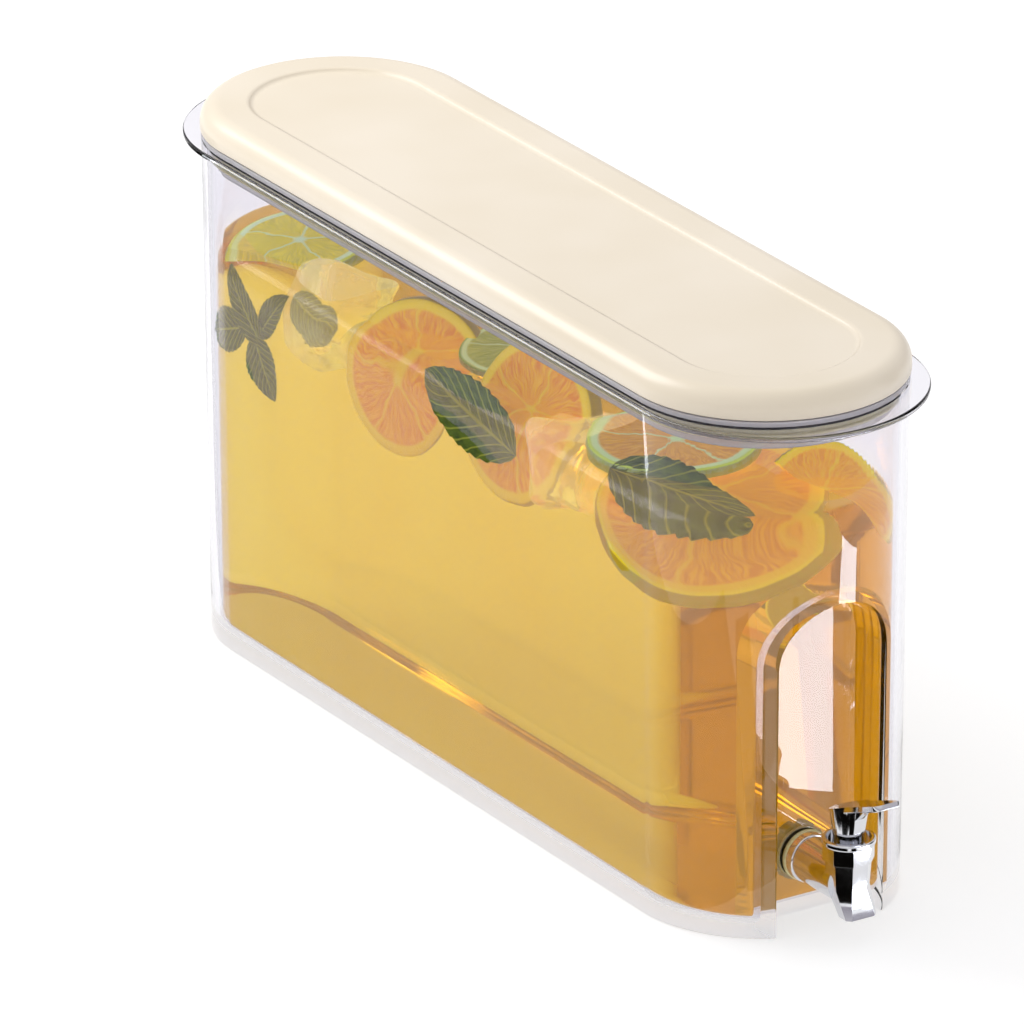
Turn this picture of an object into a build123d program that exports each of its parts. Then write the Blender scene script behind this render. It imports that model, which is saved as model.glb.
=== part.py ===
from build123d import *
import os
from math import cos, pi, radians, sin, tan

# Slim beverage dispenser: a clear stadium-shaped tank with an arched niche in its front
# end, a two-piece lid, and a small chrome-plated tap whose lever lifts a sprung stem.
# Millimetres, +Z up. The origin is the centre of the tank's base; the tap points to -Y.

os.makedirs("parts", exist_ok=True)

# ---- Tank -------------------------------------------------------------------------
tank_half_straight = 129.35     # centre of the tank to the centre of each end arc
tank_base_radius = 45.9         # outer end radius at the base
tank_draft = 0.52               # degrees, the walls open upwards
tank_height = 180.4             # base to the top of the rim
tank_wall = 3.0
tank_floor = 4.0
base_edge_fillet = 1.2
floor_fillet = 5.0
flange_overhang = 2.3           # rim beyond the wall along the long sides
flange_grip = 7.75              # extra rim at each end, for the fingers
flange_thickness = 2.0
flange_edge_fillet = 0.6

# ---- Niche for the tap ------------------------------------------------------------
niche_depth = 19.75             # front of the tank to the niche's back wall
niche_half_width = 19.2         # at the back wall
niche_draft = 6.4               # degrees, the niche opens forwards
niche_arch_z = 94.5             # centre of the arch

# ---- Lid --------------------------------------------------------------------------
lid_radius = 48.0               # outer end radius of the cover
lid_seat_gap = 0.1              # plate above the tank's rim
lid_plate_inset = 0.3           # plate edge inside the cover's edge
lid_plate_thickness = 1.9
lid_reveal_inset = 1.3          # dark groove between plate and cover
lid_reveal_height = 0.4
lid_cover_height = 9.0
lid_cover_wall = 2.0
lid_cover_edge_fillet = 6.5
lid_panel_radius = 31.5         # recessed centre panel
lid_panel_depth = 1.1
lid_panel_slope = 45.0          # degrees
lid_rim_wall = 1.6              # upstanding rim on the plate that locates the cover
lid_fit = 0.2
skirt_depth = 9.0
skirt_wall = 1.8
skirt_gap = 2.0                 # skirt to the tank's inner wall
gasket_height = 3.6
gasket_groove = 0.6
gasket_lip_height = 0.8
gasket_clearance = 0.25         # lips to the tank's inner wall

# ---- Tap, horizontal run ----------------------------------------------------------
tap_z = 20.0                    # height of the shank's axis
tap_reach = 25.5                # niche wall to the valve's vertical axis
shank_radius = 6.0              # over the thread
thread_depth = 0.45
thread_pitch = 1.5
running_fit = 0.05              # radial, shafts in holes
hole_clearance = 0.25           # radial, shank in the tank's wall
washer_radius = 8.8
washer_thickness = 1.5
wall_ring_radius = 8.5
wall_ring_length = 3.2
barrel_radius = 7.9
lock_nut_radius = 10.0
lock_nut_length = 6.0
lock_nut_notches = 8
lock_nut_notch_radius = 1.5
shank_past_nut = 3.0
flow_radius = 3.2

# ---- Tap, valve -------------------------------------------------------------------
body_across_flats = 14.4        # octagonal body at its top
waist_across_flats = 13.2       # and at its waist, above the nozzle
body_above_barrel = 0.3         # body's top above the barrel
waist_drop = 1.2                # waist below the shank's axis
nozzle_z = 10.0                 # outlet above the base
nozzle_width = 12.0
nozzle_length = 7.0
nozzle_corner = 1.5
nozzle_forward = 5.7            # outlet's centre ahead of the valve's axis
outlet_width = 9.0
outlet_length = 4.5
outlet_corner = 1.2
outlet_straight = 2.6           # upright stretch of the outlet
outlet_forward = 5.4            # ahead of the valve's axis
throat_depth = 1.0              # round throat below the seat
seat_drop = 3.4                 # seat below the shank's axis
seat_radius = 2.75
chamber_radius = 5.0
neck_radius = 6.4
neck_height = 2.6
bonnet_across_flats = 16.0
bonnet_lip_radius = 9.0
bonnet_lip_height = 2.2
bonnet_height = 7.8
cup_radius = 7.5
cup_depth = 2.5
neck_clearance = 0.1
bonnet_gasket_thickness = 0.8
guide_wall = 0.6
guide_length = 3.4              # below the bonnet's web

# ---- Stem, spring and seal --------------------------------------------------------
stem_radius = 2.5
stem_travel = 1.92              # with the lever fully pressed
collar_radius = 4.2
collar_thickness = 1.0
collar_rise = 1.6               # collar above the shank's axis
plug_radius = 4.3
plug_height = 3.4
plug_tip_radius = 1.5
plug_tip_length = 2.2
seat_gap = 0.05
o_ring_section = 0.33
o_ring_drop = 2.0               # below the bonnet's web
groove_width = 0.9
spring_wire = 0.35              # wire radius
spring_clearance = 0.4          # coils outside the bonnet's guide
spring_turns = 4.5
spring_end_gap = 0.1

# ---- Lever ------------------------------------------------------------------------
lever_press = 25.0              # degrees from rest to fully open
pin_rise = 2.8                  # pin above the bonnet's lip
pin_radius = 1.0
pin_length = 10.6
tongue_width = 4.0              # along X
tongue_half_depth = 2.1         # along Y
tongue_clearance = 0.3
hub_gap = 0.5                   # above the bonnet's cup
hub_base_radius = 4.8
hub_top_radius = 6.7
hub_height = 13.2
paddle_tilt = 21.0              # degrees up towards the front at rest
paddle_length = 24.8            # from the valve's axis, along the paddle
paddle_width = 10.0
paddle_thickness = 2.0
paddle_corner = 2.4
gusset_length = 9.0
gusset_depth = 3.2
gusset_width = 3.0

# ---- Places worked out from the sizes above ---------------------------------------
niche_back_y = -(tank_half_straight + tank_base_radius - niche_depth)
valve_y = niche_back_y - tap_reach
shank_end_y = niche_back_y + tank_wall + washer_thickness + lock_nut_length + shank_past_nut
washer_front_y = niche_back_y - washer_thickness
barrel_start_y = washer_front_y - wall_ring_length
waist_z = tap_z - waist_drop
seat_z = tap_z - seat_drop
body_top_z = tap_z + barrel_radius + body_above_barrel
neck_top_z = body_top_z + neck_height
web_z = neck_top_z + bonnet_gasket_thickness
bonnet_top_z = body_top_z + bonnet_height
cup_floor_z = bonnet_top_z - cup_depth
collar_z = tap_z + collar_rise
o_ring_z = web_z - o_ring_drop
pin_z = bonnet_top_z + pin_rise
plate_z = tank_height + lid_seat_gap
reveal_z = plate_z + lid_plate_thickness
cover_z = reveal_z + lid_reveal_height
hub_z = cup_floor_z + hub_gap
shoulder_z = cup_floor_z - stem_travel
spring_radius = stem_radius + running_fit + guide_wall + spring_clearance + spring_wire
cover_room_height = lid_cover_height - lid_panel_depth - lid_cover_wall
cover_room_fillet = lid_cover_edge_fillet - lid_cover_wall


def tank_radius(z):
    """Outer end radius of the tank's wall at a height."""
    return tank_base_radius + z * tan(radians(tank_draft))


def slot(radius, z_low, z_high, draft=0.0, half_straight=tank_half_straight):
    """Upright prism with the tank's stadium outline, its long axis along Y."""
    outline = SlotCenterToCenter(2 * half_straight, 2 * radius, rotation=90)
    return extrude(Plane.XY.offset(z_low) * outline, z_high - z_low, taper=-draft)


def slot_ring(outer, inner, z_low, z_high, draft=0.0):
    """Hollow stadium prism."""
    return slot(outer, z_low, z_high, draft) - slot(inner, z_low, z_high, draft)


def rod_z(radius, z_low, z_high, y=valve_y):
    """Upright cylinder."""
    return Pos(0, y, (z_low + z_high) / 2) * Cylinder(radius, z_high - z_low)


def rod_y(radius, y_low, y_high, z=tap_z):
    """Cylinder along Y."""
    return Pos(0, (y_low + y_high) / 2, z) * Rot(90, 0, 0) * Cylinder(radius, y_high - y_low)


def rod_x(radius, length, y, z):
    """Cylinder along X."""
    return Pos(0, y, z) * Rot(0, 90, 0) * Cylinder(radius, length)


def octagon(across_flats, z):
    """Octagon outline on the valve's axis with flats facing along X and Y."""
    outline = RegularPolygon(across_flats / 2, 8, major_radius=False, rotation=22.5)
    return Pos(0, valve_y, z) * outline


def edges_at(solid, z, tolerance=0.01):
    """Edges that lie level at a height."""
    return solid.edges().filter_by_position(Axis.Z, z - tolerance, z + tolerance)


def niche(grow=0.0):
    """Arched space of the niche, open at the base and the front."""
    half = niche_half_width + grow
    top = niche_arch_z
    low = -tank_floor - tank_wall
    face = Rectangle(2 * half, top - low, align=(Align.CENTER, Align.MIN))
    face = Pos(0, low) * face + Pos(0, top) * Circle(half)
    plane = Plane(origin=(0, niche_back_y + grow, 0), x_dir=(1, 0, 0), z_dir=(0, -1, 0))
    return extrude(plane * face, 2 * niche_depth, taper=-niche_draft)


def tank():
    """Clear tank: tapered stadium shell, rim with end grips, and the niche."""
    outer = slot(tank_base_radius, 0, tank_height - flange_thickness / 2, tank_draft)
    outer = fillet(edges_at(outer, 0), base_edge_fillet)
    flange = slot(
        tank_radius(tank_height) + flange_overhang,
        tank_height - flange_thickness,
        tank_height,
        half_straight=tank_half_straight + flange_grip,
    )
    flange = fillet(edges_at(flange, tank_height - flange_thickness), flange_edge_fillet)
    inner_low = tank_radius(tank_floor) - tank_wall
    inner = slot(inner_low, tank_floor, tank_height + tank_wall, tank_draft)
    inner = inner - niche(grow=tank_wall)
    inner = fillet(edges_at(inner, tank_floor), floor_fillet)
    body = outer + flange - inner - niche()
    body -= rod_y(shank_radius + hole_clearance, niche_back_y - 1, niche_back_y + tank_wall + 1)
    return body


def lid_plate():
    """Clear inner plate of the lid, with a plug skirt and a rim that locates the cover."""
    plate = slot(lid_radius - lid_plate_inset, plate_z, reveal_z)
    plate += slot(lid_radius - lid_reveal_inset, reveal_z, cover_z)
    rim = lid_radius - lid_cover_wall - lid_fit
    rim_top = cover_z + cover_room_height - cover_room_fillet
    plate += slot_ring(rim, rim - lid_rim_wall, cover_z, rim_top)
    skirt = skirt_radius()
    plate += slot_ring(skirt, skirt - skirt_wall, plate_z - skirt_depth, plate_z)
    plate -= slot_ring(skirt + 1, skirt - gasket_groove, gasket_z(), gasket_z() + gasket_height)
    return plate


def skirt_radius():
    """Outer end radius of the lid's plug skirt."""
    return tank_radius(tank_height - skirt_depth) - tank_wall - skirt_gap


def gasket_z():
    """Underside of the lid's gasket, centred on the skirt."""
    return plate_z - skirt_depth / 2 - gasket_height / 2


def lid_gasket():
    """Silicone ring with two lips in the skirt's groove."""
    base = skirt_radius()
    low = gasket_z()
    reach = tank_radius(low) - tank_wall - gasket_clearance
    ring = slot_ring(base + gasket_groove, base - gasket_groove, low, low + gasket_height)
    for lip_z in (low + gasket_lip_height / 2, low + gasket_height - 1.5 * gasket_lip_height):
        ring += slot_ring(reach, base, lip_z, lip_z + gasket_lip_height)
    return ring


def lid_cover():
    """Opaque pillow-edged cover with a shallow panel, hollow underneath."""
    top = cover_z + lid_cover_height
    shell = slot(lid_radius, cover_z, top)
    shell = fillet(edges_at(shell, top), lid_cover_edge_fillet)
    low = top - lid_panel_depth
    floor_radius = lid_panel_radius - lid_panel_depth * tan(radians(lid_panel_slope))
    shell -= slot(floor_radius, low, top + lid_panel_depth, lid_panel_slope)
    inside = lid_radius - lid_cover_wall
    room_top = cover_z + cover_room_height
    room = slot(inside, cover_z, room_top)
    room = fillet(edges_at(room, room_top), cover_room_fillet)
    return shell - room


def threaded_shank():
    """Shank past the wall ring, its thread as level ridges one pitch apart."""
    start = niche_back_y + tank_wall
    shank = rod_y(shank_radius, barrel_start_y, start)
    shank += rod_y(shank_radius - thread_depth, start, shank_end_y)
    ridges = int((shank_end_y - start) / thread_pitch)
    for turn in range(ridges):
        middle = start + (turn + 0.5) * thread_pitch
        shank += rod_y(shank_radius, middle - thread_pitch / 4, middle + thread_pitch / 4)
    return shank


def nozzle():
    """Taper from the octagonal waist to the wide flat outlet, ahead of the valve."""
    outlet = Rectangle(nozzle_width, nozzle_length)
    outlet = chamfer(outlet.vertices(), nozzle_corner)
    low = Pos(0, valve_y - nozzle_forward, nozzle_z) * outlet
    return loft([octagon(waist_across_flats, waist_z), low], ruled=True)


def spigot_body():
    """Tap body: shank, barrel, octagonal valve chamber with its seat, and nozzle."""
    body = rod_y(barrel_radius, valve_y, barrel_start_y)
    body += loft([octagon(waist_across_flats, waist_z), octagon(body_across_flats, body_top_z)], ruled=True)
    body += nozzle()
    body += rod_z(neck_radius, body_top_z, neck_top_z)
    body += threaded_shank()
    body -= rod_z(chamber_radius, seat_z, neck_top_z)
    body -= rod_y(flow_radius, valve_y, shank_end_y)
    outlet = RectangleRounded(outlet_width, outlet_length, outlet_corner)
    throat = RectangleRounded(2 * seat_radius, 2 * seat_radius, outlet_corner)
    mouth = Pos(0, valve_y - outlet_forward, nozzle_z) * outlet
    body -= extrude(mouth, outlet_straight)
    upper_mouth = Pos(0, 0, outlet_straight) * mouth
    throat_z = seat_z - throat_depth
    body -= loft([upper_mouth, Pos(0, valve_y, throat_z) * throat], ruled=True)
    body -= rod_z(seat_radius, throat_z, seat_z)
    return body


def wall_ring():
    """Plated ring between the barrel's shoulder and the outer washer."""
    ring = rod_y(wall_ring_radius, barrel_start_y, washer_front_y)
    ring = chamfer(ring.edges().group_by(Axis.Y)[0], 0.4)
    return ring - rod_y(shank_radius + running_fit, barrel_start_y, washer_front_y)


def washer(y_low):
    """Silicone washer on the shank."""
    y_high = y_low + washer_thickness
    return rod_y(washer_radius, y_low, y_high) - rod_y(shank_radius + running_fit, y_low, y_high)


def lock_nut():
    """Round notched nut that clamps the tap from inside the tank."""
    low = niche_back_y + tank_wall + washer_thickness
    high = low + lock_nut_length
    nut = rod_y(lock_nut_radius, low, high)
    for notch in range(lock_nut_notches):
        angle = 2 * pi * notch / lock_nut_notches
        place = Pos(lock_nut_radius * cos(angle), 0, lock_nut_radius * sin(angle))
        nut -= place * rod_y(lock_nut_notch_radius, low - 1, high + 1)
    return nut - rod_y(shank_radius + running_fit, low, high)


def bonnet():
    """Octagonal cap with a round lip, a cup for the lever and a guide for the stem."""
    lip_z = bonnet_top_z - bonnet_lip_height
    cap = extrude(octagon(bonnet_across_flats, body_top_z), lip_z - body_top_z)
    lip = rod_z(bonnet_lip_radius, lip_z, bonnet_top_z)
    cap += fillet(lip.edges().filter_by(GeomType.CIRCLE), 0.7)
    cap -= rod_z(neck_radius + neck_clearance, body_top_z, web_z)
    cap -= rod_z(cup_radius, cup_floor_z, bonnet_top_z)
    cap += rod_z(stem_radius + running_fit + guide_wall, web_z - guide_length, web_z + 0.1)
    return cap - rod_z(stem_radius + running_fit, web_z - guide_length, bonnet_top_z)


def bonnet_gasket():
    """Silicone ring between the body's neck and the bonnet."""
    ring = rod_z(neck_radius, neck_top_z, web_z)
    return ring - rod_z(chamber_radius, neck_top_z, web_z)


def stem():
    """Stem: plug tip, collar, seal groove, and a flat tongue drilled for the lever's pin."""
    foot_z = seat_z + seat_gap + plug_height
    rod = rod_z(plug_tip_radius, foot_z - plug_tip_length, foot_z)
    rod += rod_z(stem_radius, foot_z, shoulder_z)
    rod += rod_z(collar_radius, collar_z, collar_z + collar_thickness)
    groove = rod_z(stem_radius + 1, o_ring_z - groove_width / 2, o_ring_z + groove_width / 2)
    core = rod_z(stem_radius - 2 * o_ring_section, o_ring_z - groove_width, o_ring_z + groove_width)
    rod -= groove - core
    height = pin_z - shoulder_z
    flat = Pos(0, valve_y, shoulder_z + height / 2) * Box(tongue_width, 2 * tongue_half_depth, height)
    rod += flat & rod_z(stem_radius, shoulder_z, pin_z)
    rod += rod_x(tongue_half_depth, tongue_width, valve_y, pin_z)
    return rod - rod_x(pin_radius + running_fit, tongue_width + 1, valve_y, pin_z)


def seat_plug():
    """Silicone plug on the stem's tip that closes the seat."""
    low = seat_z + seat_gap
    plug = rod_z(plug_radius, low, low + plug_height)
    plug = chamfer(plug.edges().group_by(Axis.Z)[0], 0.5)
    tip_z = low + plug_height - plug_tip_length
    return plug - rod_z(plug_tip_radius, tip_z, low + plug_height)


def stem_o_ring():
    """O-ring in the stem's groove."""
    ring_radius = stem_radius - o_ring_section + running_fit / 2
    return Pos(0, valve_y, o_ring_z) * Torus(ring_radius, o_ring_section)


def return_spring():
    """Open coil spring between the stem's collar and the bonnet's web."""
    low = collar_z + collar_thickness + spring_wire + spring_end_gap
    high = web_z - spring_wire - spring_end_gap
    pitch = (high - low) / spring_turns
    path = Pos(0, valve_y, low) * Helix(pitch, high - low, spring_radius)
    section = Plane(path @ 0, z_dir=path % 0) * Circle(spring_wire)
    return sweep(section, path, is_frenet=True)


def lever_frame():
    """Tilted frame of the paddle's top face, on the valve's axis at the hub's top."""
    return Pos(0, valve_y, hub_z + hub_height) * Rot(-paddle_tilt, 0, 0)


def lever():
    """Cone hub and tilted paddle, slotted underneath for the stem's tongue."""
    frame = lever_frame()
    tall = hub_height + hub_top_radius
    slope = (hub_top_radius - hub_base_radius) / hub_height
    cone = Cone(hub_base_radius, hub_base_radius + slope * tall, tall)
    hub = Pos(0, valve_y, hub_z + tall / 2) * cone
    hub -= frame * Pos(0, 0, tall / 2) * Box(4 * tall, 4 * tall, tall)
    outline = Pos(0, -paddle_length / 2) * Rectangle(paddle_width, paddle_length)
    outline = fillet(outline.vertices().group_by(Axis.Y)[0], paddle_corner)
    paddle = frame * Pos(0, 0, -paddle_thickness) * extrude(outline, paddle_thickness)
    paddle = chamfer(paddle.edges().group_by(Axis.Y)[0], 0.3)
    drop = -paddle_thickness - gusset_depth
    corners = [(0, 0), (0, drop), (-hub_base_radius, drop), (-hub_base_radius - gusset_length, -1)]
    gusset = extrude(Plane.YZ * make_face(Polyline(*corners, close=True)), gusset_width / 2, both=True)
    whole = hub + paddle + frame * gusset
    return whole - tongue_slot() - rod_x(pin_radius, 4 * hub_top_radius, valve_y, pin_z)


def tongue_slot():
    """Room in the hub for the stem's tongue through the lever's travel."""
    half = tongue_half_depth + tongue_clearance
    reach = pin_z - hub_z + 1
    swing = radians(lever_press + 2)
    front = -half / cos(swing) - reach * tan(swing)
    corners = [(half, 0), (-half, 0), (front, -reach), (half, -reach)]
    width = tongue_width + 2 * tongue_clearance
    wedge = extrude(Plane.YZ * make_face(Polyline(*corners, close=True)), width / 2, both=True)
    return Pos(0, valve_y, pin_z) * wedge + rod_x(half, width, valve_y, pin_z)


def lever_pin():
    """Cross pin pressed into the lever's hub."""
    return rod_x(pin_radius, pin_length, valve_y, pin_z)


SUB_PARTS = {
    "tank": tank,
    "lid_plate": lid_plate,
    "lid_gasket": lid_gasket,
    "lid_cover": lid_cover,
    "spigot_body": spigot_body,
    "wall_ring": wall_ring,
    "outer_washer": lambda: washer(washer_front_y),
    "inner_washer": lambda: washer(niche_back_y + tank_wall),
    "lock_nut": lock_nut,
    "bonnet": bonnet,
    "bonnet_gasket": bonnet_gasket,
    "stem": stem,
    "seat_plug": seat_plug,
    "stem_o_ring": stem_o_ring,
    "return_spring": return_spring,
    "lever": lever,
    "lever_pin": lever_pin,
}

for node, build in SUB_PARTS.items():
    export_step(build(), f"parts/{node}.step")
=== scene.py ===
"""Looks of a slim drink dispenser: clear tank, cream lid, plated push tap and citrus drink."""

import logging
import math
from dataclasses import dataclass
from enum import Enum

import bmesh
import bpy
from bmesh.types import BMesh
from bpy.types import Material, Mesh, Node, NodeSocket, NodeTree, Object
from mathutils import Matrix, Vector, noise


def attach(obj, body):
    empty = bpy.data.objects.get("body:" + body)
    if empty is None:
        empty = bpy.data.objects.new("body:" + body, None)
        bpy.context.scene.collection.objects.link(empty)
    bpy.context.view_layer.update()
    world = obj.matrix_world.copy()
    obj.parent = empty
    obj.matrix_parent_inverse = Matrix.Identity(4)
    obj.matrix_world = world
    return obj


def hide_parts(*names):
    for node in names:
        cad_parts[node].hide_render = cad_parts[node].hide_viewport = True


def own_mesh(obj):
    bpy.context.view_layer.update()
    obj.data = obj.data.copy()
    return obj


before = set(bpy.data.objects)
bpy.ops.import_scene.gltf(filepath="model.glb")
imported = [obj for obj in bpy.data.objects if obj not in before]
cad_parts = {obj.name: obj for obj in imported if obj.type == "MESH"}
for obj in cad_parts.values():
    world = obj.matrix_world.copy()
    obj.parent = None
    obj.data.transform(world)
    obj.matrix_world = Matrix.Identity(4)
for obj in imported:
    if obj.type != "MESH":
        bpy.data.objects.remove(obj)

LOG = logging.getLogger("dispenser")
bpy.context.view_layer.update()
MM = 0.001
SPIN_STEPS = 160

Point = tuple[float, float]
Triple = tuple[float, float, float]
Colour = tuple[float, float, float, float]


# ---- Small tools --------------------------------------------------------------------


def linear(hex_colour: str) -> Colour:
    """Turns an sRGB hex colour into linear light.

    Args:
        hex_colour: six hex digits after a hash.

    Returns:
        Red, green, blue and alpha in linear light.
    """
    parts = [int(hex_colour[i : i + 2], 16) / 255 for i in (1, 3, 5)]
    light = [p / 12.92 if p <= 0.04045 else ((p + 0.055) / 1.055) ** 2.4 for p in parts]
    return (light[0], light[1], light[2], 1.0)


def feed(tree: NodeTree, node: Node, inputs: dict[str | int, object]) -> None:
    """Links or sets inputs of a node.

    Args:
        tree: node tree that holds the node.
        node: the node.
        inputs: a value, a node or an output socket for each input, by name or index.
    """
    for name, value in inputs.items():
        source = value.outputs[0] if isinstance(value, Node) else value
        if isinstance(source, NodeSocket):
            tree.links.new(source, node.inputs[name])
        else:
            node.inputs[name].default_value = source


def add(
    tree: NodeTree,
    kind: str,
    inputs: dict[str | int, object] | None = None,
    stops: list[tuple[float, Colour]] | None = None,
    **settings: object,
) -> Node:
    """Adds a node, sets it up and links it.

    Args:
        tree: node tree that takes the node.
        kind: the node's type name after "ShaderNode".
        inputs: what each input takes, as in feed.
        stops: places and colours of a colour ramp.
        settings: attributes of the node.

    Returns:
        The new node.
    """
    node = tree.nodes.new("ShaderNode" + kind)
    for name, value in settings.items():
        setattr(node, name, value)
    feed(tree, node, inputs or {})
    for i, (place, colour) in enumerate(stops or []):
        ramp = node.color_ramp.elements
        stop = ramp[i] if i < 2 else ramp.new(place)
        stop.position = place
        stop.color = colour
    return node


def rounded(corners: list[Triple], steps: int = 7) -> list[Point]:
    """Rounds the corners of a profile with true arcs.

    Args:
        corners: radius from the axis, height and fillet radius of each corner, in mm.
        steps: straight pieces in each arc.

    Returns:
        The profile's points, with a holding point beside each arc.
    """
    points: list[Point] = []
    for i, (x, z, fillet) in enumerate(corners):
        here = Vector((x, z))
        if fillet <= 0:
            points.append((x, z))
            continue
        before = Vector(corners[i - 1][:2]) - here
        after = Vector(corners[(i + 1) % len(corners)][:2]) - here
        half = before.angle(after) / 2
        reach = fillet / math.tan(half)
        start = here + before.normalized() * reach
        end = here + after.normalized() * reach
        weight = math.sin(half)
        hold = min(0.25 * fillet, 0.4)
        if before.length > reach + 2 * hold:
            points.append(tuple(start + before.normalized() * hold))
        for step in range(steps + 1):
            t = step / steps
            a, b, c = (1 - t) ** 2, 2 * t * (1 - t) * weight, t * t
            points.append(tuple((a * start + b * here + c * end) / (a + b + c)))
        if after.length > reach + 2 * hold:
            points.append(tuple(end + after.normalized() * hold))
    return points


def stadium(profile: list[Point], half_straight: float, closed: bool = False) -> BMesh:
    """Spins a profile about Z and draws the two halves apart along Y.

    Args:
        profile: radius and height of each point, in mm.
        half_straight: half the length of the straight sides.
        closed: joins the last point to the first.

    Returns:
        A closed form with its faces outwards.
    """
    form = bmesh.new()
    turn = math.pi / SPIN_STEPS
    verts = [form.verts.new((r * math.cos(turn), r * math.sin(turn), z)) for r, z in profile]
    edges = [form.edges.new(pair) for pair in zip(verts, verts[1:])]
    if closed:
        edges.append(form.edges.new((verts[-1], verts[0])))
    bmesh.ops.spin(
        form,
        geom=verts + edges,
        cent=(0, 0, 0),
        axis=(0, 0, 1),
        angle=2 * math.pi,
        steps=SPIN_STEPS,
        use_merge=True,
    )
    bmesh.ops.remove_doubles(form, verts=form.verts, dist=0.0005)
    bmesh.ops.recalc_face_normals(form, faces=form.faces)
    for side in (1, -1):
        half = [v for v in form.verts if v.co.y * side > 1e-4]
        bmesh.ops.translate(form, verts=half, vec=(0, side * half_straight, 0))
    return form


def to_object(form: BMesh, name: str) -> Object:
    """Puts a form into the scene as it is, and frees it.

    Args:
        form: the form.
        name: name of the mesh and the object.

    Returns:
        The object.
    """
    mesh = bpy.data.meshes.new(name)
    form.to_mesh(mesh)
    form.free()
    thing = bpy.data.objects.new(name, mesh)
    bpy.context.scene.collection.objects.link(thing)
    return thing


def evaluated(thing: Object) -> Mesh:
    """Makes a mesh of an object with its modifiers applied.

    Args:
        thing: the object.

    Returns:
        The mesh.
    """
    graph = bpy.context.evaluated_depsgraph_get()
    return bpy.data.meshes.new_from_object(thing.evaluated_get(graph))


def combine(form: BMesh, other: BMesh, operation: str = "DIFFERENCE") -> BMesh:
    """Combines two closed forms and frees both.

    Args:
        form: the form that is kept.
        other: what is cut from it or joined to it.
        operation: DIFFERENCE or UNION.

    Returns:
        The new form.
    """
    kept = to_object(form, "kept")
    tool = to_object(other, "tool")
    cut = kept.modifiers.new("cut", "BOOLEAN")
    cut.object = tool
    cut.operation = operation
    cut.solver = "EXACT"
    mesh = evaluated(kept)
    result = bmesh.new()
    result.from_mesh(mesh)
    for thing in (kept, tool):
        bpy.data.objects.remove(thing)
    bpy.data.meshes.remove(mesh)
    return result


def round_edges(form: BMesh, width: float, over: float = 38.0, segments: int = 3) -> None:
    """Rounds every edge sharper than an angle.

    Args:
        form: the form, in mm.
        width: how far the rounding reaches from each edge.
        over: least angle between faces, in degrees.
        segments: strips across the rounding.
    """
    limit = math.radians(over)
    hard = [e for e in form.edges if e.is_manifold and e.calc_face_angle(0.0) > limit]
    bmesh.ops.bevel(
        form,
        geom=hard,
        offset=width,
        affect="EDGES",
        segments=segments,
        profile=0.5,
        material=-1,
        clamp_overlap=True,
    )


def cad_copy(node: str, width: float) -> BMesh:
    """Copies a CAD node in mm, merges its triangles and rounds its hard edges.

    Args:
        node: name of the CAD node.
        width: how far the rounding reaches from each edge.

    Returns:
        The copy.
    """
    form = bmesh.new()
    form.from_mesh(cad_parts[node].data)
    bmesh.ops.scale(form, vec=(1 / MM,) * 3, verts=form.verts)
    bmesh.ops.remove_doubles(form, verts=form.verts, dist=0.002)
    bmesh.ops.dissolve_limit(
        form, angle_limit=math.radians(0.6), verts=form.verts, edges=form.edges
    )
    round_edges(form, width, over=32.0, segments=2)
    return form


def piece(
    form: BMesh,
    name: str,
    body: str,
    finishes: list[Material],
    stands_for: tuple[str, ...] = (),
    sharp: float = 35.0,
) -> Object:
    """Turns a form in mm into a finished piece that rides on a CAD body.

    Args:
        form: the form, freed here.
        name: the piece's name.
        body: the CAD body that carries it.
        finishes: materials in the order of the faces' indices.
        stands_for: CAD nodes that the piece replaces.
        sharp: angle over which an edge is shaded sharp, in degrees.

    Returns:
        The piece's object.
    """
    bmesh.ops.scale(form, vec=(MM,) * 3, verts=form.verts)
    thing = to_object(form, name)
    thing.data.shade_smooth()
    thing.data.set_sharp_from_angle(angle=math.radians(sharp))
    for finish in finishes:
        thing.data.materials.append(finish)
    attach(thing, body)
    if stands_for:
        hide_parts(*stands_for)
    LOG.info("%s on %s: %d faces", name, body, len(thing.data.polygons))
    return thing


def dress(node: str, finish: Material) -> None:
    """Gives a carried-over CAD node its material.

    Args:
        node: name of the CAD node.
        finish: its material.
    """
    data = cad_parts[node].data
    data.materials.clear()
    data.materials.append(finish)
    LOG.info("%s keeps its CAD shape in %s", node, finish.name)


# ---- Finishes -----------------------------------------------------------------------


@dataclass(frozen=True)
class Finish:
    """A material with one main shader, patterned on Object coordinates."""

    name: str
    colour: str = "#FFFFFF"
    roughness: float = 0.4
    metallic: float = 0.0
    ior: float = 1.5
    transmission: float = 0.0

    def start(self) -> tuple[NodeTree, Node, NodeSocket]:
        """Makes the material with its shader and its coordinates.

        Returns:
            The node tree, the shader and the Object coordinates.
        """
        material = bpy.data.materials.new(self.name)
        material.use_nodes = True
        tree = material.node_tree
        tree.nodes.clear()
        shader = add(
            tree,
            "BsdfPrincipled",
            {
                "Base Color": linear(self.colour),
                "Roughness": self.roughness,
                "Metallic": self.metallic,
                "IOR": self.ior,
                "Transmission Weight": self.transmission,
            },
        )
        add(tree, "OutputMaterial", {"Surface": shader})
        place = add(tree, "TexCoord").outputs["Object"]
        return tree, shader, place


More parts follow.
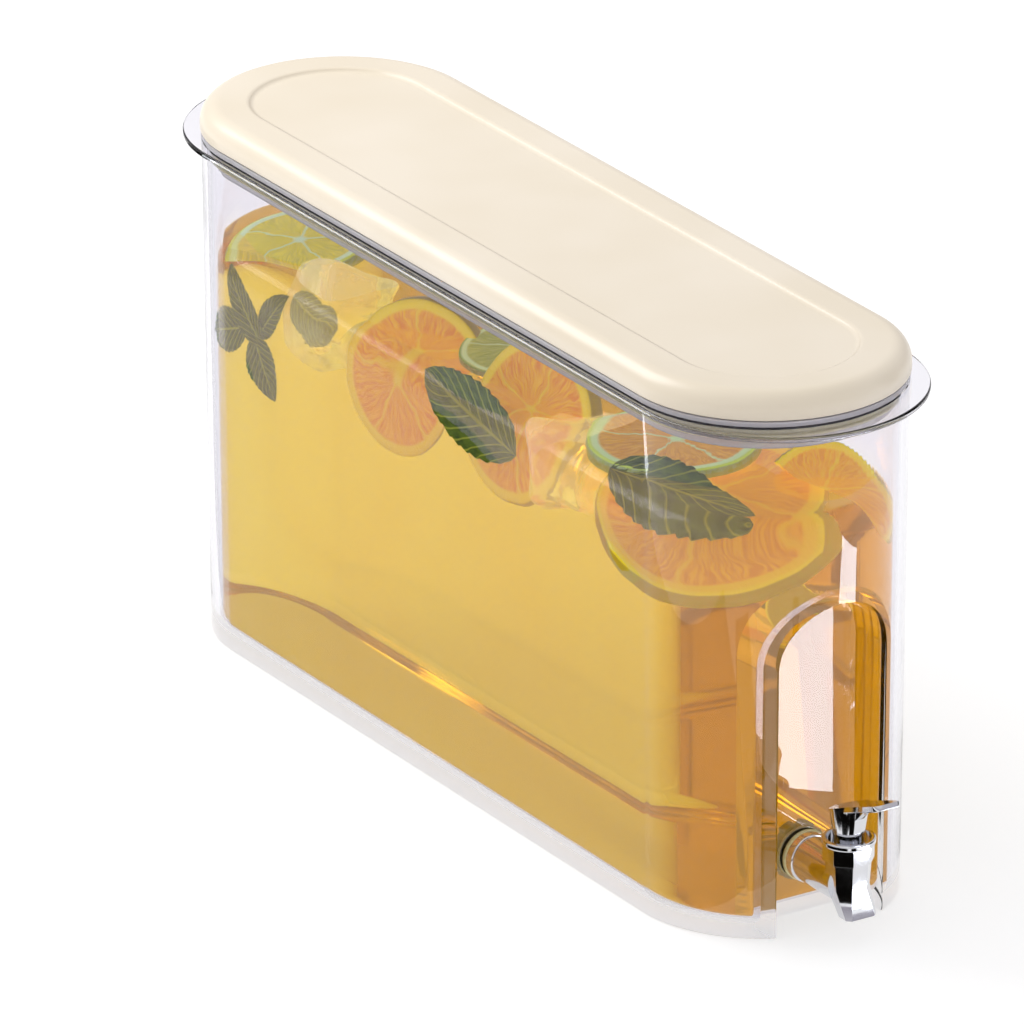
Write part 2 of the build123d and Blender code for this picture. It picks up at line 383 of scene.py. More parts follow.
@dataclass(frozen=True)
class ClearStyrene(Finish):
    """Clear styrene-acrylonitrile, injection moulded: glossy, faintly grey, slightly wavy walls."""

    name: str = "moulded_clear_styrene"
    colour: str = "#F3F2F7"
    roughness: float = 0.01
    ior: float = 1.45
    transmission: float = 1.0
    flow_mm: float = 45.0
    waviness: float = 0.12

    def build(self) -> Material:
        """Builds the material.

        Returns:
            The material.
        """
        tree, shader, place = self.start()
        wave = add(tree, "TexNoise", {"Vector": place, "Scale": 1000 / self.flow_mm, "Detail": 1.0})
        bump = add(tree, "Bump", {"Height": wave, "Strength": self.waviness, "Distance": 1.2 * MM})
        feed(tree, shader, {"Normal": bump})
        return bpy.data.materials[self.name]


@dataclass(frozen=True)
class CreamPolypropylene(Finish):
    """Cream polypropylene from a fine-blasted mould: soft satin with a faint mottle."""

    name: str = "moulded_cream_polypropylene"
    colour: str = "#F1E6D2"
    shade: str = "#ECE0C9"
    roughness: float = 0.34
    grain_mm: float = 0.6
    mottle_mm: float = 60.0
    coat: float = 0.15
    coat_roughness: float = 0.2

    def build(self) -> Material:
        """Builds the material.

        Returns:
            The material.
        """
        tree, shader, place = self.start()
        mottle = add(
            tree, "TexNoise", {"Vector": place, "Scale": 1000 / self.mottle_mm, "Detail": 2.0}
        )
        tint = add(
            tree,
            "ValToRGB",
            {"Fac": mottle},
            [(0.35, linear(self.shade)), (0.65, linear(self.colour))],
        )
        grain = add(
            tree, "TexNoise", {"Vector": place, "Scale": 1000 / self.grain_mm, "Detail": 1.0}
        )
        bump = add(tree, "Bump", {"Height": grain, "Strength": 0.08, "Distance": 0.0001})
        feed(tree, shader, {
            "Base Color": tint,
            "Normal": bump,
            "Coat Weight": self.coat,
            "Coat Roughness": self.coat_roughness,
        })
        return bpy.data.materials[self.name]


@dataclass(frozen=True)
class PlatedChrome(Finish):
    """Chrome electroplated on ABS: mirror bright, with faint haze where hands touch it."""

    name: str = "chrome_plated_abs"
    colour: str = "#DDDEE2"
    metallic: float = 1.0
    roughness: float = 0.07
    haze_mm: float = 6.0
    haze_roughness: tuple[float, float] = (0.04, 0.12)

    def build(self) -> Material:
        """Builds the material.

        Returns:
            The material.
        """
        tree, shader, place = self.start()
        haze = add(tree, "TexNoise", {"Vector": place, "Scale": 1000 / self.haze_mm, "Detail": 3.0})
        low, high = self.haze_roughness
        rough = add(
            tree,
            "MapRange",
            {"Value": haze, "From Min": 0.35, "From Max": 0.75, "To Min": low, "To Max": high},
        )
        feed(tree, shader, {"Roughness": rough})
        return bpy.data.materials[self.name]


@dataclass(frozen=True)
class Speckled(Finish):
    """A plain solid material with a fine mottle, for seals, nut, stem and spring."""

    shade: str = "#FFFFFF"
    speck_mm: float = 1.2
    bump: float = 0.15

    def build(self) -> Material:
        """Builds the material.

        Returns:
            The material.
        """
        tree, shader, place = self.start()
        speck = add(
            tree, "TexNoise", {"Vector": place, "Scale": 1000 / self.speck_mm, "Detail": 2.0}
        )
        tint = add(
            tree,
            "ValToRGB",
            {"Fac": speck},
            [(0.3, linear(self.shade)), (0.7, linear(self.colour))],
        )
        bump = add(tree, "Bump", {"Height": speck, "Strength": self.bump, "Distance": 0.0001})
        feed(tree, shader, {"Base Color": tint, "Normal": bump})
        return bpy.data.materials[self.name]


@dataclass(frozen=True)
class CitrusDrink(Finish):
    """Cloudy citrus drink: clear enough to show fruit near the wall, deep yellow further in, with a
    painted yellow glow.
    """

    name: str = "cloudy_citrus_drink"
    colour: str = "#FFF5C4"
    shade: str = "#FFEFB0"
    roughness: float = 0.02
    ior: float = 1.33
    transmission: float = 0.95
    density: float = 30.0
    depth_colour: Colour = (0.96, 0.885, 0.06, 1.0)
    painted_drink_glow: str = "#E2B61C"
    painted_glow_strength: float = 0.10
    cloud_mm: float = 70.0

    def build(self) -> Material:
        """Builds the material with its absorbing volume.

        Returns:
            The material.
        """
        tree, shader, place = self.start()
        cloud = add(
            tree,
            "TexNoise",
            {"Vector": place, "Scale": 1000 / self.cloud_mm, "Detail": 3.0, "Distortion": 0.6},
        )
        tint = add(
            tree,
            "ValToRGB",
            {"Fac": cloud},
            [(0.3, linear(self.shade)), (0.7, linear(self.colour))],
        )
        # Painted glow: a yellow emission brightens the drink as if light came from inside it.
        feed(tree, shader, {
            "Base Color": tint,
            "Emission Color": linear(self.painted_drink_glow),
            "Emission Strength": self.painted_glow_strength,
        })
        depth = add(tree, "VolumeAbsorption", {"Color": self.depth_colour, "Density": self.density})
        sink = next(n for n in tree.nodes if n.bl_idname == "ShaderNodeOutputMaterial")
        feed(tree, sink, {"Volume": depth})
        return bpy.data.materials[self.name]


@dataclass(frozen=True)
class ClearIce(Finish):
    """Freezer ice: clear and wet, with cracks inside that bend the light, and a painted pale glow
    that makes it look cloudy.
    """

    name: str = "clear_ice"
    colour: str = "#FFFDF4"
    roughness: float = 0.03
    ior: float = 1.55
    transmission: float = 0.85
    crack_mm: float = 12.0
    painted_ice_glow: str = "#FFF2B8"
    painted_glow_strength: float = 0.16

    def build(self) -> Material:
        """Builds the material.

        Returns:
            The material.
        """
        tree, shader, place = self.start()
        crack = add(
            tree,
            "TexVoronoi",
            {"Vector": place, "Scale": 1000 / self.crack_mm},
            feature="DISTANCE_TO_EDGE",
        )
        bump = add(tree, "Bump", {"Height": crack, "Strength": 0.5, "Distance": 0.002})
        # Painted glow: a pale emission brightens the ice.
        feed(tree, shader, {
            "Normal": bump,
            "Emission Color": linear(self.painted_ice_glow),
            "Emission Strength": self.painted_glow_strength,
        })
        return bpy.data.materials[self.name]


class CitrusKind(Enum):
    """Colours of each fruit: rind, pith, light flesh and deep flesh."""

    LEMON = ("#D4DC40", "#DCF0C4", "#F2DE1C", "#D2C20C")
    MANDARIN = ("#C4DC50", "#D0EAB0", "#ECB43C", "#D4902C")
    ORANGE = ("#F2D818", "#F6CC20", "#F6B810", "#E8980C")
    BLUSH = ("#EECC18", "#F6D420", "#FABC10", "#EE9210")
    LIME = ("#6C9430", "#D8E4A0", "#C8C450", "#A0A430")


@dataclass(frozen=True)
class CitrusFlesh(Finish):
    """Cut citrus: juice sacs that run outwards between pale membranes, pith, then rind, with a
    painted glow in their own colours.
    """

    kind: CitrusKind = CitrusKind.ORANGE
    segments: int = 10
    roughness: float = 0.25
    painted_glow_strength: float = 0.42

    def build(self) -> Material:
        """Builds the material on the slice's own UV map, whose middle is the core.

        Returns:
            The material.
        """
        tree, shader, _ = self.start()
        rind, pith, light, deep = (linear(c) for c in self.kind.value)
        place = add(tree, "UVMap", uv_map="slice").outputs[0]
        local = add(
            tree,
            "VectorMath",
            {0: place, 1: (2.0, 2.0, 0.0), 2: (-1.0, -1.0, 0.0)},
            operation="MULTIPLY_ADD",
        ).outputs[0]
        wobble = add(tree, "TexNoise", {"Vector": local, "Scale": 3.0, "Detail": 2.0})
        xy = add(tree, "SeparateXYZ", {0: local})
        radius = add(tree, "VectorMath", {0: local}, operation="LENGTH").outputs["Value"]
        turn = add(tree, "Math", {0: xy.outputs[1], 1: xy}, operation="ARCTAN2")
        wave = add(tree, "Math", {0: wobble, 1: 0.5, 2: turn}, operation="MULTIPLY_ADD")
        count = add(tree, "Math", {0: wave, 1: self.segments / (2 * math.pi)}, operation="MULTIPLY")
        saw = add(tree, "Math", {0: count, 1: 1.0}, operation="PINGPONG")
        gap = add(tree, "Math", {0: saw, 1: radius}, operation="MULTIPLY")
        wall = add(
            tree,
            "MapRange",
            {"Value": gap, "From Min": 0.01, "From Max": 0.05, "To Min": 0.75, "To Max": 0.0},
        )
        sac_place = add(tree, "CombineXYZ", {0: count, 1: radius})
        sac_scale = add(
            tree, "VectorMath", {0: sac_place, 1: (9.0, 1.6, 1.0)}, operation="MULTIPLY"
        )
        sacs = add(
            tree, "TexNoise", {"Vector": sac_scale, "Scale": 2.2, "Detail": 3.0, "Distortion": 0.4}
        )
        flesh = add(tree, "ValToRGB", {"Fac": sacs}, [(0.4, deep), (0.6, light)])
        walled = add(tree, "Mix", {0: wall, 6: flesh, 7: pith}, data_type="RGBA")
        black, white = linear("#000000"), linear("#FFFFFF")
        rings = [(0.05, white), (0.12, black), (0.83, black), (0.87, white)]
        ring = add(tree, "ValToRGB", {"Fac": radius}, rings)
        pithy = add(tree, "Mix", {0: ring, 6: walled.outputs[2], 7: pith}, data_type="RGBA")
        edge = add(tree, "MapRange", {"Value": radius, "From Min": 0.92, "From Max": 0.96})
        skin = add(tree, "Mix", {0: edge, 6: pithy.outputs[2], 7: rind}, data_type="RGBA")
        bump = add(tree, "Bump", {"Height": sacs, "Strength": 0.4, "Distance": 0.0008})
        # Painted glow: the slice gives off light in its own colours, so it reads bright inside the
        # drink.
        feed(tree, shader, {
            "Base Color": skin.outputs[2],
            "Emission Color": skin.outputs[2],
            "Emission Strength": self.painted_glow_strength,
            "Normal": bump,
        })
        return bpy.data.materials[self.name]


@dataclass(frozen=True)
class MintGreen(Finish):
    """Fresh mint: deep green blade, quilted between paler veins, with a soft sheen."""

    name: str = "fresh_mint_leaf"
    colour: str = "#7A9414"
    blade: str = "#48600A"
    vein: str = "#C4CC3C"
    roughness: float = 0.6
    vein_pairs: float = 9.0

    def build(self) -> Material:
        """Builds the material on the leaf's own UV map: U runs along it, V across.

        Returns:
            The material.
        """
        tree, shader, _ = self.start()
        place = add(tree, "UVMap", uv_map="leaf").outputs[0]
        uv = add(tree, "SeparateXYZ", {0: place})
        middle = add(tree, "Math", {0: uv.outputs[1], 1: 0.5}, operation="SUBTRACT")
        across = add(tree, "Math", {0: middle}, operation="ABSOLUTE")
        slant = add(tree, "Math", {0: across, 1: -0.55, 2: uv}, operation="MULTIPLY_ADD")
        count = add(tree, "Math", {0: slant, 1: self.vein_pairs}, operation="MULTIPLY")
        saw = add(tree, "Math", {0: count, 1: 0.5}, operation="PINGPONG")
        side = add(
            tree,
            "MapRange",
            {"Value": saw, "From Min": 0.0, "From Max": 0.12, "To Min": 1.0, "To Max": 0.0},
        )
        rib = add(
            tree,
            "MapRange",
            {"Value": across, "From Min": 0.012, "From Max": 0.04, "To Min": 1.0, "To Max": 0.0},
        )
        veins = add(tree, "Math", {0: side, 1: rib}, operation="MAXIMUM")
        blotch = add(tree, "TexNoise", {"Vector": place, "Scale": 9.0, "Detail": 4.0})
        blade = add(
            tree,
            "ValToRGB",
            {"Fac": blotch},
            [(0.35, linear(self.blade)), (0.7, linear(self.colour))],
        )
        tint = add(tree, "Mix", {0: veins, 6: blade, 7: linear(self.vein)}, data_type="RGBA")
        bump = add(tree, "Bump", {"Height": saw, "Strength": 0.6, "Distance": 0.0008})
        feed(tree, shader, {"Base Color": tint.outputs[2], "Normal": bump})
        return bpy.data.materials[self.name]


# ---- Tank ---------------------------------------------------------------------------


@dataclass
class Tank:
    """Clear tank with its rim and the arched niche for the tap. Sizes in mm."""

    half_straight: float = 129.35
    base_radius: float = 45.9
    draft: float = 0.52
    height: float = 180.4
    wall: float = 3.0
    floor: float = 4.0
    rim_overhang: float = 2.3
    rim_grip: float = 7.75
    rim_thickness: float = 2.0
    niche_back: float = -155.5
    niche_depth: float = 19.75
    niche_half: float = 19.2
    niche_draft: float = 6.4
    arch_z: float = 94.5
    bore_radius: float = 6.25
    bore_z: float = 20.0
    edge: float = 0.8

    def radius(self, z: float) -> float:
        """End radius of the outer wall at a height."""
        return self.base_radius + z * math.tan(math.radians(self.draft))

    def prism(self, low: float, high: float, inset: float, foot: float, brim: float = 0.0) -> BMesh:
        """Solid with the tank's taper.

        Args:
            low: lower height.
            high: upper height.
            inset: how far it lies inside the outer wall.
            foot: fillet at its lower edge.
            brim: fillet at its upper edge.

        Returns:
            The closed form.
        """
        corners = [
            (0, low, 0),
            (self.radius(low) - inset, low, foot),
            (self.radius(high) - inset, high, brim),
            (0, high, 0),
        ]
        return stadium(rounded(corners), self.half_straight)

    def niche(self, grow: float = 0.0) -> BMesh:
        """Arched block that opens forwards.

        Args:
            grow: how far it stands out from the niche's surface.

        Returns:
            The closed form.
        """
        half = self.niche_half + grow
        back = self.niche_back + grow
        form = bmesh.new()
        foot = form.verts.new((half, back, -7))
        spring = form.verts.new((half, back, self.arch_z))
        bmesh.ops.spin(
            form,
            geom=[spring],
            cent=(0, back, self.arch_z),
            axis=(0, -1, 0),
            angle=math.pi,
            steps=40,
        )
        far = form.verts.new((-half, back, -7))
        form.verts.ensure_lookup_table()
        last = min((v for v in form.verts if v is not far), key=lambda v: v.co.x)
        form.edges.new((foot, spring))
        form.edges.new((far, last))
        form.edges.new((foot, far))
        face = bmesh.ops.contextual_create(form, geom=form.edges[:])["faces"]
        front = bmesh.ops.extrude_face_region(form, geom=face)["geom"]
        verts = [v for v in front if isinstance(v, bmesh.types.BMVert)]
        length = 2 * self.niche_depth
        spread = 1 + length * math.tan(math.radians(self.niche_draft)) / half
        bmesh.ops.translate(form, verts=verts, vec=(0, -length, 0))
        about = Matrix.Translation((0, 0, -self.arch_z))
        bmesh.ops.scale(form, vec=(spread, 1, spread), space=about, verts=verts)
        bmesh.ops.recalc_face_normals(form, faces=form.faces)
        return form

    def bore(self) -> BMesh:
        """Builds the hole for the tap's shank.

        Returns:
            The closed form.
        """
        form = bmesh.new()
        bmesh.ops.create_cone(
            form,
            cap_ends=True,
            segments=48,
            radius1=self.bore_radius,
            radius2=self.bore_radius,
            depth=4 * self.wall,
        )
        turn = Matrix.Rotation(math.pi / 2, 3, "X")
        middle = (0, self.niche_back + self.wall / 2, self.bore_z)
        bmesh.ops.rotate(form, verts=form.verts, cent=(0, 0, 0), matrix=turn)
        bmesh.ops.translate(form, verts=form.verts, vec=middle)
        return form

    def rim(self) -> BMesh:
        """Builds the flat rim with a finger grip at each end.

        Returns:
            The closed form.
        """
        reach = self.radius(self.height) + self.rim_overhang
        low = self.height - self.rim_thickness
        corners = [(0, low, 0), (reach, low, 0.6), (reach, self.height, 0.6), (0, self.height, 0)]
        return stadium(rounded(corners, 3), self.half_straight + self.rim_grip)

    def build(self, finish: Material) -> None:
        """Builds the tank and dresses it.

        Args:
            finish: its material.
        """
        shell = combine(self.prism(0, self.height - 1, 0, 1.2), self.rim(), "UNION")
        room = self.prism(self.floor, self.height + 3, self.wall, 5.0)
        room = combine(room, self.niche(self.wall))
        shell = combine(shell, room)
        shell = combine(shell, self.niche())
        shell = combine(shell, self.bore())
        bmesh.ops.remove_doubles(shell, verts=shell.verts, dist=0.003)
        round_edges(shell, self.edge)
        tank = piece(shell, "tank_shell", "tank", [finish], ("tank",))
        tank.modifiers.new("even_shading", "WEIGHTED_NORMAL").keep_sharp = True


# ---- Lid ----------------------------------------------------------------------------


@dataclass
class Lid:
    """Clear plate with a gasketed skirt, under a pillow-edged cover. Sizes in mm."""

    half_straight: float = 129.35
    plate_z: float = 180.5
    plate_thickness: float = 1.9
    reveal: float = 0.4
    cover_radius: float = 48.0
    cover_height: float = 9.0
    cover_wall: float = 2.0
    cover_fillet: float = 6.5
    panel_radius: float = 31.5
    panel_depth: float = 1.1
    skirt_radius: float = 42.456
    skirt_wall: float = 1.8
    skirt_depth: float = 9.0
    gasket_z: float = 174.2
    gasket_height: float = 3.6
    gasket_reach: float = 44.23
    groove: float = 0.6

    def cover(self, finish: Material) -> None:
        """Builds the hollow cover, whose sunken panel has soft shoulders.

        Args:
            finish: its material.
        """
        low = self.plate_z + self.plate_thickness + self.reveal
        top = low + self.cover_height
        sunk = top - self.panel_depth
        inside = self.cover_radius - self.cover_wall
        corners = [
            (0, sunk, 0),
            (self.panel_radius - self.panel_depth, sunk, 2.4),
            (self.panel_radius, top, 2.4),
            (self.cover_radius, top, self.cover_fillet),
            (self.cover_radius, low, 0.5),
            (inside, low, 0.3),
            (inside, sunk - self.cover_wall, self.cover_fillet - self.cover_wall),
            (0, sunk - self.cover_wall, 0),
        ]
        form = stadium(rounded(corners, 9), self.half_straight)
        piece(form, "lid_top", "lid", [finish], ("lid_cover",))

    def plate(self, finish: Material) -> None:
        """Builds the plate, its skirt with the gasket's groove, and the rim that locates the cover.

        Args:
            finish: its material.
        """
        low = self.plate_z
        top = low + self.plate_thickness
        deck = top + self.reveal
        foot = low - self.skirt_depth
        out = self.skirt_radius
        inner = out - self.skirt_wall
        groove_top = self.gasket_z + self.gasket_height
        rim = self.cover_radius - self.cover_wall - 0.2
        corners = [
            (0, low, 0),
            (inner, low, 0.6),
            (inner, foot, 0.4),
            (out, foot, 0.4),
            (out, self.gasket_z, 0),
            (out - self.groove, self.gasket_z, 0),
            (out - self.groove, groove_top, 0),
            (out, groove_top, 0),
            (out, low, 0.4),
            (self.cover_radius - 0.3, low, 0.3),
            (self.cover_radius - 0.3, top, 0.3),
            (self.cover_radius - 1.3, top, 0),
            (self.cover_radius - 1.3, deck, 0),
            (rim, deck, 0),
            (rim, deck + 1.4, 0.3),
            (rim - 1.6, deck + 1.4, 0.3),
            (rim - 1.6, deck, 0),
            (0, deck, 0),
        ]
        form = stadium(rounded(corners, 3), self.half_straight)
        piece(form, "lid_inner_plate", "lid", [finish], ("lid_plate",))

    def gasket(self, finish: Material) -> None:
        """Builds the silicone ring with its two soft lips.

        Args:
            finish: its material.
        """
        low = self.gasket_z
        base = self.skirt_radius + self.groove
        back = self.skirt_radius - self.groove
        corners = [(back, low, 0), (base, low, 0.1)]
        for lip in (low + 0.4, low + 2.4):
            corners += [
                (base, lip, 0.1),
                (self.gasket_reach, lip, 0.3),
                (self.gasket_reach, lip + 0.8, 0.3),
                (base, lip + 0.8, 0.1),
            ]
        corners += [(base, low + self.gasket_height, 0.1), (back, low + self.gasket_height, 0)]
        form = stadium(rounded(corners, 3), self.half_straight, closed=True)
        piece(form, "lid_seal", "lid", [finish], ("lid_gasket",))


# ---- Tap ----------------------------------------------------------------------------


@dataclass
class Tap:
    """Plated tap: rounded copies of the visible pieces, and the inner pieces as they are."""

    edge: float = 0.28
    nut_edge: float = 0.4
    valve_y: float = -181.0
    web_z: float = 31.6
    stem_travel: float = 1.92

    def build(self, chrome: Material, seal: Material, nylon: Material) -> None:
        """Builds the pieces that show.

        Args:
            chrome: material of the plated pieces.
            seal: material of the washers.
            nylon: material of the lock nut.
        """
        plated = {
            "spigot_body": ("tap_body", "tank"),
            "wall_ring": ("tap_wall_ring", "tank"),
            "bonnet": ("tap_bonnet", "tank"),
            "lever": ("tap_lever", "lever"),
        }
        for node, (name, body) in plated.items():
            part = piece(cad_copy(node, self.edge), name, body, [chrome], (node,))
            part.modifiers.new("flat_facets", "WEIGHTED_NORMAL").keep_sharp = True
        for node in ("outer_washer", "inner_washer"):
            washer = cad_copy(node, self.edge)
            piece(washer, f"tap_{node}", "tank", [seal], (node,))
        nut = cad_copy("lock_nut", self.nut_edge)
        piece(nut, "tap_lock_nut", "tank", [nylon], ("lock_nut",))

    def spring(self, finish: Material) -> None:
        """Copies the return spring onto a mesh of its own; the real spring shortens against the
        bonnet's web as the stem rises.

        Args:
            finish: its material.
        """
        form = bmesh.new()
        form.from_mesh(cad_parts["return_spring"].data)
        bmesh.ops.scale(form, vec=(1 / MM,) * 3, verts=form.verts)
        bmesh.ops.remove_doubles(form, verts=form.verts, dist=0.002)
        coil = piece(
            form, "tap_return_spring", "tank", [finish], ("return_spring",), 60.0
        )
        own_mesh(coil)

    def dress_inside(self, finishes: dict[str, Material]) -> None:
        """Dresses the pieces that stay as CAD has them.

        Args:
            finishes: the material of each CAD node.
        """
        for node, finish in finishes.items():
            dress(node, finish)


# ---- Drink --------------------------------------------------------------------------


@dataclass
class Slice:
    """A round citrus slice, in mm; keep is where it is cut off, as a share of its radius."""

    name: str
    centre: Triple
    radius: float
    facing: Triple
    kind: CitrusKind
    spin: float = 0.0
    keep: float | None = None
    thickness: float = 6.0

    def build(self, flesh: Material, rind: Material) -> None:
        """Builds the slice with its cut faces and its rind.

        Args:
            flesh: material of the cut faces.
            rind: material of the skin.
        """
        form = bmesh.new()
        bmesh.ops.create_cone(
            form,
            cap_ends=True,
            segments=72,
            radius1=self.radius,
            radius2=self.radius * 0.985,
            depth=self.thickness,
        )
        caps = [f for f in form.faces if abs(f.normal.z) > 0.9]
        for width in (0.10, 0.25, 0.30):
            bmesh.ops.inset_region(form, faces=caps, thickness=width * self.radius)
        wide = [e for e in form.edges if e.calc_face_angle(0.0) > 1.0]
        bmesh.ops.bevel(
            form, geom=wide, offset=0.9, affect="EDGES", segments=3, profile=0.5, material=-1
        )
        if self.keep is not None:
            cut = bmesh.ops.bisect_plane(
                form,
                geom=form.verts[:] + form.edges[:] + form.faces[:],
                plane_co=(self.keep * self.radius, 0, 0),
                plane_no=(1, 0, 0),
                clear_outer=True,
            )
            rim = [g for g in cut["geom_cut"] if isinstance(g, bmesh.types.BMEdge)]
            bmesh.ops.holes_fill(form, edges=rim)
        layer = form.loops.layers.uv.new("slice")
        for face in form.faces:
            outer = face.calc_center_median().xy.length > 0.9 * self.radius
            face.material_index = 1 if outer and abs(face.normal.z) < 0.5 else 0
            for loop in face.loops:
                flat = loop.vert.co.xy / (2 * self.radius)
                loop[layer].uv = (0.5 + flat.x, 0.5 + flat.y)
        for vert in form.verts:
            ripple = noise.noise(vert.co * 0.11 + Vector(self.centre))
            vert.co *= 1 + 0.02 * ripple
            vert.co.z += 0.9 * noise.noise(vert.co * 0.04 + Vector(self.centre))
        place_form(form, self.centre, self.facing, self.spin)
        piece(form, self.name, "tank", [flesh, rind], sharp=50.0)


@dataclass
class Leaf:
    """A mint leaf with a folded midrib and a toothed edge. Sizes in mm."""

    name: str
    stem: Triple
    tip: Triple
    width: float
    facing: Triple = (-1.0, 0.0, 0.1)
    curl: float = 0.04

    def build(self, finish: Material) -> None:
        """Builds the leaf from a grid, drawn in to a point at both ends.

        Args:
            finish: its material.
        """
        form = bmesh.new()
        along = Vector(self.tip) - Vector(self.stem)
        length = along.length
        bmesh.ops.create_grid(form, x_segments=44, y_segments=12, size=0.5)
        layer = form.loops.layers.uv.new("leaf")
        for face in form.faces:
            for loop in face.loops:
                loop[layer].uv = (loop.vert.co.x + 0.5, loop.vert.co.y + 0.5)
        for vert in form.verts:
            u, v = vert.co.x + 0.5, 2 * vert.co.y
            outline = math.sin(math.pi * u**0.8) ** 0.75 if 0 < u < 1 else 0.0
            tooth = 1 + 0.10 * abs(v) ** 4 * (1 - (u * 11) % 1.0)
            quilt = math.sin(2 * math.pi * (9 * (u - 0.27 * abs(v)))) * (1 - v * v)
            vert.co.x = (u - 0.5) * length
            vert.co.y = v * outline * tooth * self.width / 2
            vert.co.z = abs(v) * outline * 0.22 * self.width / 2
            vert.co.z += 0.35 * quilt - self.curl * length * (2 * u - 1) ** 2
        bmesh.ops.remove_doubles(form, verts=form.verts, dist=0.02)
        side = Vector(self.facing).cross(along).normalized()
        lift = along.cross(side).normalized()
        turn = Matrix((along.normalized(), side, lift)).transposed()
        bmesh.ops.rotate(form, verts=form.verts, cent=(0, 0, 0), matrix=turn)
        middle = (Vector(self.stem) + Vector(self.tip)) / 2
        bmesh.ops.translate(form, verts=form.verts, vec=middle)
        leaf = piece(form, self.name, "tank", [finish], sharp=80.0)
        skin = leaf.modifiers.new("thickness", "SOLIDIFY")
        skin.thickness = 0.5 * MM
        skin.offset = 0.0


@dataclass
class Ice:
    """A worn ice cube. Sizes in mm."""

    name: str
    centre: Triple
    facing: Triple
    size: float
    spin: float = 0.0
    melt: float = 0.10

    def build(self, finish: Material) -> None:
        """Builds the cube with rounded, melted edges and uneven faces.

        Args:
            finish: its material.
        """
        form = bmesh.new()
        bmesh.ops.create_cube(form, size=self.size)
        bmesh.ops.bevel(
            form,
            geom=form.edges[:],
            offset=0.16 * self.size,
            affect="EDGES",
            segments=3,
            profile=0.5,
            material=-1,
        )
        bmesh.ops.subdivide_edges(form, edges=form.edges[:], cuts=3, use_grid_fill=True)
        for vert in form.verts:
            push = noise.noise(vert.co * (1.6 / self.size) + Vector(self.centre))
            vert.co *= 1 + self.melt * 2 * push
        place_form(form, self.centre, self.facing, self.spin)
        cube = piece(form, self.name, "tank", [finish], sharp=180.0)
        smooth = cube.modifiers.new("melted", "SUBSURF")
        smooth.levels = 1
        smooth.render_levels = 1


def place_form(form: BMesh, centre: Triple, facing: Triple, spin: float) -> None:
    """Turns a flat form to face a direction and moves it into place.

    Args:
        form: the form, lying on XY about the origin.
        centre: where its middle goes, in mm.
        facing: where its +Z side looks.
        spin: turn about its own Z first, in degrees.
    """
    swing = Vector((0, 0, 1)).rotation_difference(Vector(facing).normalized()).to_matrix()
    turn = swing @ Matrix.Rotation(math.radians(spin), 3, "Z")
    bmesh.ops.rotate(form, verts=form.verts, cent=(0, 0, 0), matrix=turn)
    bmesh.ops.translate(form, verts=form.verts, vec=centre)


@dataclass
class Drink:
    """The drink, a little inside the wall, with its fruit, mint and ice. Sizes in mm."""

    tank: Tank
    gap: float = 1.2
    seat: float = 0.3
    level: float = 144.0
    brim: float = 9.0

    def juice(self, finish: Material) -> None:
        """Builds the body of drink round the niche.

        Args:
            finish: its material.
        """
        inset = self.tank.wall + self.gap
        body = self.tank.prism(self.tank.floor + self.seat, self.level, inset, 5.0, self.brim)
        body = combine(body, self.tank.niche(inset))
        bmesh.ops.remove_doubles(body, verts=body.verts, dist=0.003)
        round_edges(body, 1.6)
        piece(body, "drink", "tank", [finish])

    def fruit(self) -> None:
        """Builds the slices where they float and lean."""
        flesh = {
            kind: CitrusFlesh(f"cut_{kind.name.lower()}", kind=kind).build() for kind in CitrusKind
        }
        rind = {
            kind: Speckled(
                f"{kind.name.lower()}_rind",
                colour=kind.value[0],
                shade=kind.value[1],
                roughness=0.35,
                speck_mm=1.6,
                bump=0.5,
            ).build()
            for kind in CitrusKind
        }
        citrus = CitrusKind
        rows = [
            ("lemon_slice_back", (-16, 127, 143), 25, (-0.15, 0, 1), citrus.LEMON, 200, 0.62),
            ("blush_slice_side", (-24, 37, 129), 26, (-0.85, -0.48, 0.2), citrus.BLUSH, 50),
            ("lime_slice_middle", (-5, 4, 143), 22, (-0.1, 0, 1), citrus.LIME),
            ("blush_slice_middle", (-24, -34, 137), 27, (-1, -0.2, 0.3), citrus.BLUSH, 10),
            ("lemon_slice_front", (-8, -90, 143), 28, (0, 0, 1), citrus.MANDARIN, 75),
            ("orange_slice_front", (-10, -118, 128), 36, (-0.35, -0.3, 1), citrus.ORANGE, 15),
            ("orange_wedge_front", (16, -140, 136), 20, (-0.5, -0.9, 0.5), citrus.ORANGE, 200, 0.0),
        ]
        for row in rows:
            one = Slice(*row)
            one.build(flesh[one.kind], rind[one.kind])

    def mint(self) -> None:
        """Builds the mint leaves."""
        green = MintGreen().build()
        leaves = [
            Leaf("mint_leaf_left", (-40, 122, 121), (-40, 148, 111), 15),
            Leaf("mint_leaf_top", (-40, 112, 117), (-40, 134, 139), 13),
            Leaf("mint_leaf_low", (-40, 117, 120), (-40, 104, 100), 16, (-1, -0.1, 0.1)),
            Leaf("mint_leaf_upper", (-39, 114, 121), (-39, 98, 139), 11, (-1, 0.2, 0.2)),
            Leaf("mint_leaf_side", (-40.5, -47, 133), (-40.5, 12, 143), 22, (-1, 0, 0.35)),
            Leaf("mint_leaf_front", (-37, -97, 145), (-14, -145, 132), 21, (-0.55, -0.8, 0.6)),
            Leaf("mint_leaf_on_ice", (-33, 98, 136), (-33, 72, 133), 12),
        ]
        for one in leaves:
            one.build(green)

    def ice(self) -> None:
        """Builds the ice."""
        clear = ClearIce().build()
        cubes = [
            Ice("ice_cube_back", (-24, 87, 134), (-1, 0.25, 0.45), 29, spin=14),
            Ice("ice_cube_front", (-26, -64, 132), (-1, -0.4, 0.3), 29, spin=30, melt=0.2),
        ]
        for one in cubes:
            one.build(clear)


# ---- Studio -------------------------------------------------------------------------


